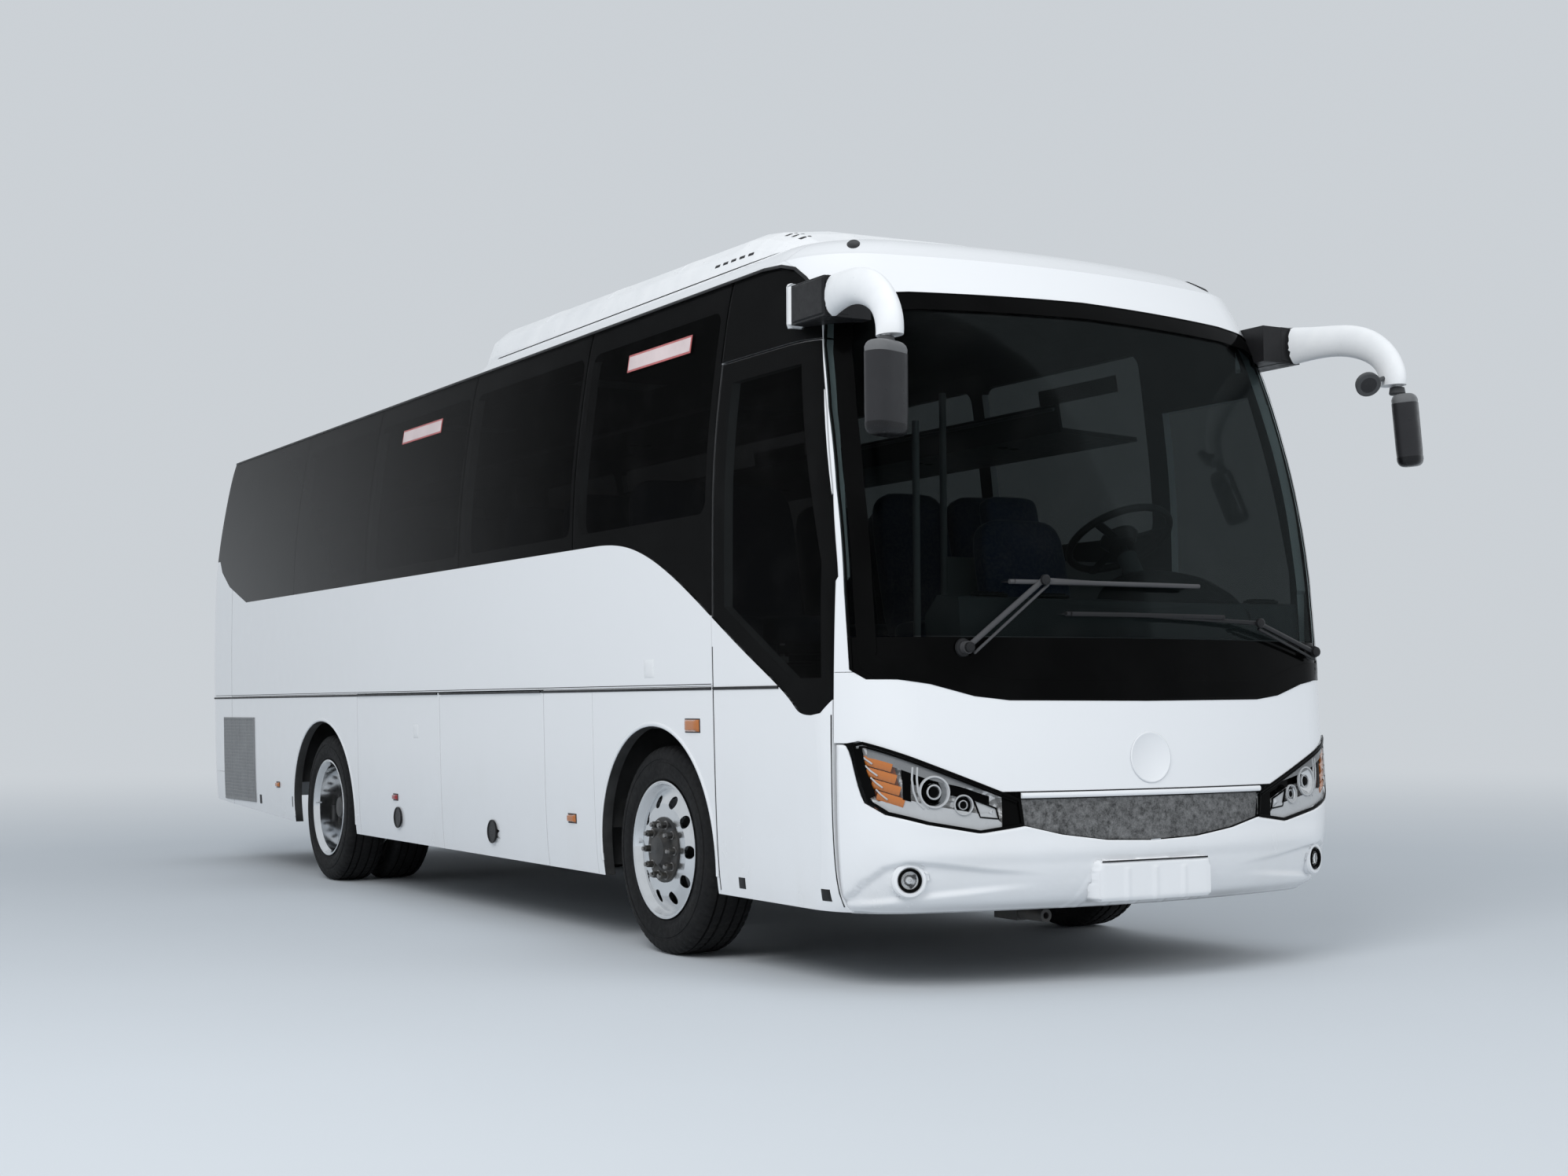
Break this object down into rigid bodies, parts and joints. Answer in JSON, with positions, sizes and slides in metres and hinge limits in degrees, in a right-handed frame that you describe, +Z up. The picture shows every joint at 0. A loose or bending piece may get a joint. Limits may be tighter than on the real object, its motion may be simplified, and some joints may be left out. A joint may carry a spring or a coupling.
{
  "type": "midi coach",
  "caption": "Single-deck midi coach with a folding-out passenger door, side luggage bays, a rear engine hatch, roof hatches and steered front wheels.",
  "frame": {"origin": "on the ground, at the middle of the overall length and width", "axes": "+Z up, nose along -Y, passenger door on the -X side (the vehicle's right), driver on the +X side"},
  "size_m": [2.7897, 9.3449, 3.208],
  "materials": {
    "white_paint": "gloss",
    "white_plastic": "gloss",
    "grey_plastic": "satin",
    "black_plastic": "satin",
    "black_gloss": "gloss",
    "dark_glass": "gloss",
    "screen_glass": "gloss",
    "lamp_lens": "gloss",
    "red_lens": "gloss",
    "frame_steel": "satin",
    "black_steel": "satin",
    "rail_steel": "gloss",
    "engine_metal": "matte",
    "floor_covering": "matte",
    "bay_lining": "matte",
    "seat_cloth": "matte",
    "tyre": "matte",
    "polished_rim": "polished"
  },
  "bodies": {
    "body": {"chassis_frame": "frame_steel", "saloon_floor": "floor_covering", "luggage_bay_floor": "bay_lining", "wheel_housings": "bay_lining", "engine_block": "engine_metal", "upper_side_walls": "white_paint", "lower_side_panels": "white_paint", "side_glass": "dark_glass", "roof": "white_paint", "front_dome": "white_paint", "windscreen": "screen_glass", "windscreen_mask": "black_gloss", "front_panel": "white_paint", "front_bumper": "white_paint", "grille_strip": "grey_plastic", "front_lamps": "lamp_lens", "rear_panel": "white_paint", "rear_window": "dark_glass", "rear_bumper": "white_paint", "rear_lamps": "red_lens", "roof_air_conditioner": "white_plastic", "dashboard": "grey_plastic", "steering_column": "grey_plastic", "driver_seat": "seat_cloth", "passenger_seats": "seat_cloth", "handrails": "rail_steel", "luggage_racks": "grey_plastic", "wipers": "black_steel", "mirror_arms": "white_plastic", "mirror_heads": "grey_plastic", "front_axle": "frame_steel", "rear_axle": "frame_steel"},
    "knuckle_right": {"knuckle_right": "frame_steel"},
    "knuckle_left": {"knuckle_left": "frame_steel"},
    "front_wheel_right": {"front_tyre_right": "tyre", "front_rim_right": "polished_rim"},
    "front_wheel_left": {"front_tyre_left": "tyre", "front_rim_left": "polished_rim"},
    "rear_wheels_right": {"rear_tyres_right": "tyre", "rear_rims_right": "polished_rim"},
    "rear_wheels_left": {"rear_tyres_left": "tyre", "rear_rims_left": "polished_rim"},
    "steering_wheel": {"steering_wheel": "black_plastic"},
    "door_arm": {"door_arm": "black_steel"},
    "passenger_door": {"passenger_door": "white_paint", "door_glass": "dark_glass"},
    "luggage_door_right_front": {"luggage_door_right_front": "white_paint"},
    "luggage_door_right_rear": {"luggage_door_right_rear": "white_paint"},
    "luggage_door_left_front": {"luggage_door_left_front": "white_paint"},
    "luggage_door_left_rear": {"luggage_door_left_rear": "white_paint"},
    "engine_hatch": {"engine_hatch": "white_paint"},
    "roof_hatch_front": {"roof_hatch_front": "white_plastic"},
    "roof_hatch_rear": {"roof_hatch_rear": "white_plastic"}
  },
  "joints": [
    {"name": "steer_right", "type": "hinge", "parent": "body", "child": "knuckle_right", "pos_m": [-0.96, -2.621, 0.452], "axis": [0, 0, 1], "range_deg": [-34, 34]},
    {"name": "front_wheel_spin_right", "type": "hinge", "parent": "knuckle_right", "child": "front_wheel_right", "pos_m": [-1.068, -2.621, 0.452], "axis": [1, 0, 0], "continuous": true},
    {"name": "rear_wheels_spin_right", "type": "hinge", "parent": "body", "child": "rear_wheels_right", "pos_m": [-1.068, 2.019, 0.452], "axis": [1, 0, 0], "continuous": true},
    {"name": "steer_left", "type": "hinge", "parent": "body", "child": "knuckle_left", "pos_m": [0.96, -2.621, 0.452], "axis": [0, 0, 1], "range_deg": [-34, 34]},
    {"name": "front_wheel_spin_left", "type": "hinge", "parent": "knuckle_left", "child": "front_wheel_left", "pos_m": [1.068, -2.621, 0.452], "axis": [1, 0, 0], "continuous": true},
    {"name": "rear_wheels_spin_left", "type": "hinge", "parent": "body", "child": "rear_wheels_left", "pos_m": [1.068, 2.019, 0.452], "axis": [1, 0, 0], "continuous": true},
    {"name": "steering_wheel_turn", "type": "hinge", "parent": "body", "child": "steering_wheel", "pos_m": [0.4, -3.801, 1.78], "axis": [0, 0.5299, 0.848], "range_deg": [-408, 408]},
    {"name": "door_arm_swing", "type": "hinge", "parent": "body", "child": "door_arm", "pos_m": [-1.092, -3.961, 1], "axis": [0, 0, 1], "range_deg": [0, 140]},
    {"name": "door_leaf_pivot", "type": "hinge", "parent": "door_arm", "child": "passenger_door", "pos_m": [-1.092, -3.501, 1], "axis": [0, 0, 1], "range_deg": [-140, 0]},
    {"name": "luggage_lift_right_front", "type": "hinge", "parent": "body", "child": "luggage_door_right_front", "pos_m": [-1.241, -0.731, 1.147], "axis": [0, 1, 0], "range_deg": [0, 85]},
    {"name": "luggage_lift_left_front", "type": "hinge", "parent": "body", "child": "luggage_door_left_front", "pos_m": [1.241, -0.731, 1.147], "axis": [0, -1, 0], "range_deg": [0, 85]},
    {"name": "luggage_lift_right_rear", "type": "hinge", "parent": "body", "child": "luggage_door_right_rear", "pos_m": [-1.241, 0.654, 1.147], "axis": [0, 1, 0], "range_deg": [0, 85]},
    {"name": "luggage_lift_left_rear", "type": "hinge", "parent": "body", "child": "luggage_door_left_rear", "pos_m": [1.241, 0.654, 1.147], "axis": [0, -1, 0], "range_deg": [0, 85]},
    {"name": "engine_hatch_lift", "type": "hinge", "parent": "body", "child": "engine_hatch", "pos_m": [0, 4.667, 1.494], "axis": [1, 0, 0], "range_deg": [0, 75]},
    {"name": "roof_hatch_front_lift", "type": "hinge", "parent": "body", "child": "roof_hatch_front", "pos_m": [0, 0.126, 3.053], "axis": [1, 0, 0], "range_deg": [0, 20]},
    {"name": "roof_hatch_rear_lift", "type": "hinge", "parent": "body", "child": "roof_hatch_rear", "pos_m": [0, 2.376, 3.053], "axis": [1, 0, 0], "range_deg": [0, 20]}
  ],
  "couplings": [
    {"joint": "steer_left", "follows": "steer_right", "ratio": 1},
    {"joint": "steering_wheel_turn", "follows": "steer_right", "ratio": 12},
    {"joint": "door_leaf_pivot", "follows": "door_arm_swing", "ratio": -1}
  ]
}
